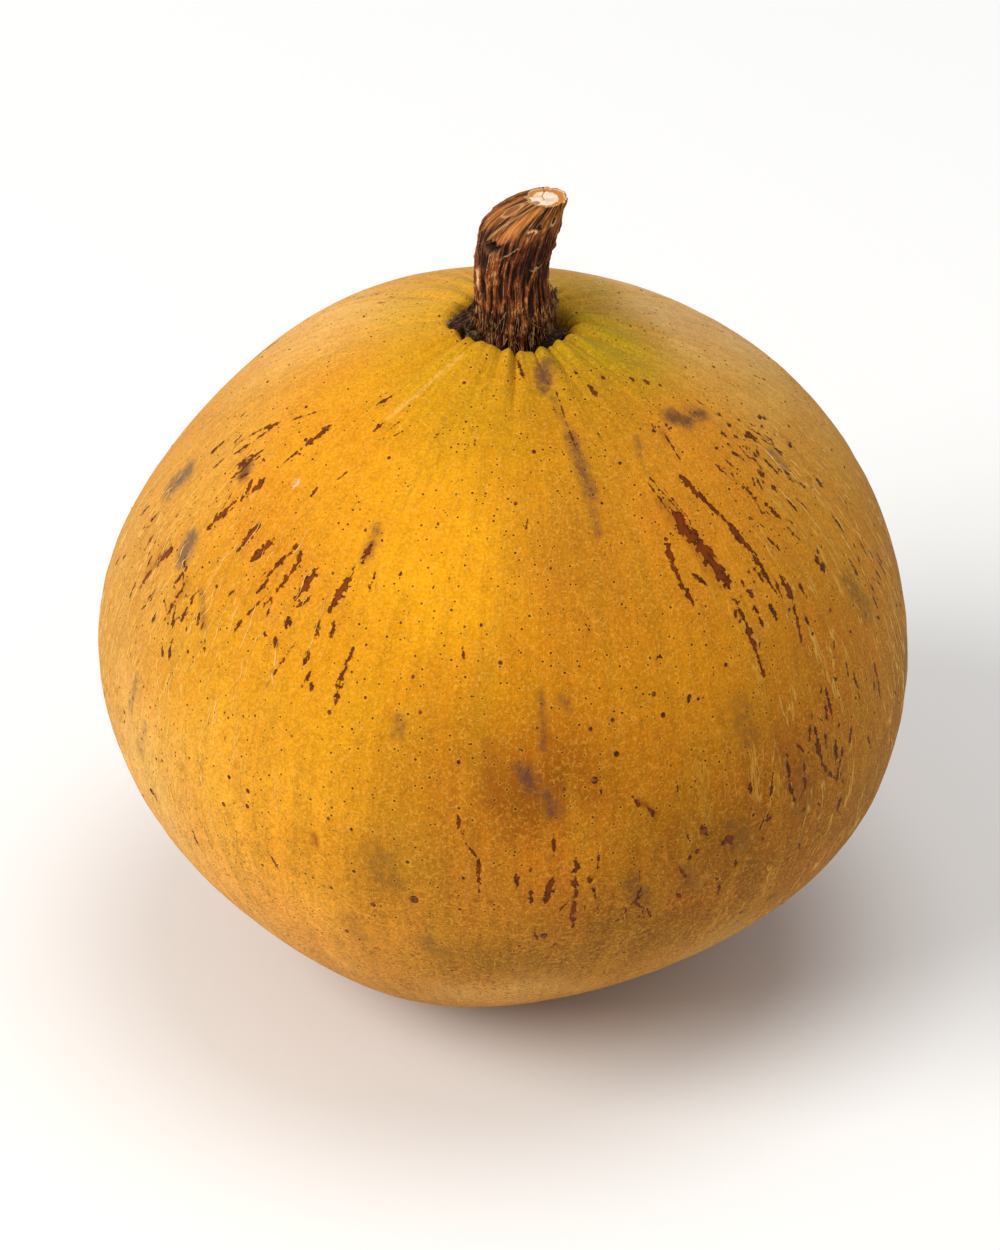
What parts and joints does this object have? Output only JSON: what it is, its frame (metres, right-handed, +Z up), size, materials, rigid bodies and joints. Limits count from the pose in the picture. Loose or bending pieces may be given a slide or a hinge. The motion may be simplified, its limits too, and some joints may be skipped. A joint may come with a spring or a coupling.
{
  "type": "santol fruit with a stub of stem",
  "caption": "Whole ripe santol, a round velvety yellow-brown fruit with a pleated pit round a short bark-covered stem; sits on a small flat foot.",
  "frame": {"origin": "centre of the small flat foot that the fruit sits on", "axes": "+Z up from the foot to the stem, +X the way the stem leans, -Y the side with the big scars and the chin"},
  "size_m": [0.0902, 0.09, 0.0941],
  "materials": {
    "santol_skin": "velvety yellow-brown rind with fine felt, pale raised veins and dark red-brown scars",
    "stem_bark": "rough dark red-brown bark with tan fibres and a pale cut end",
    "dried_calyx": "dry dark grey-brown papery scrap"
  },
  "bodies": {
    "root": {"fruit": "santol_skin", "stem": "stem_bark", "calyx_lobe_1": "dried_calyx", "calyx_lobe_2": "dried_calyx", "calyx_lobe_3": "dried_calyx", "calyx_lobe_4": "dried_calyx", "calyx_lobe_5": "dried_calyx"}
  },
  "joints": []
}
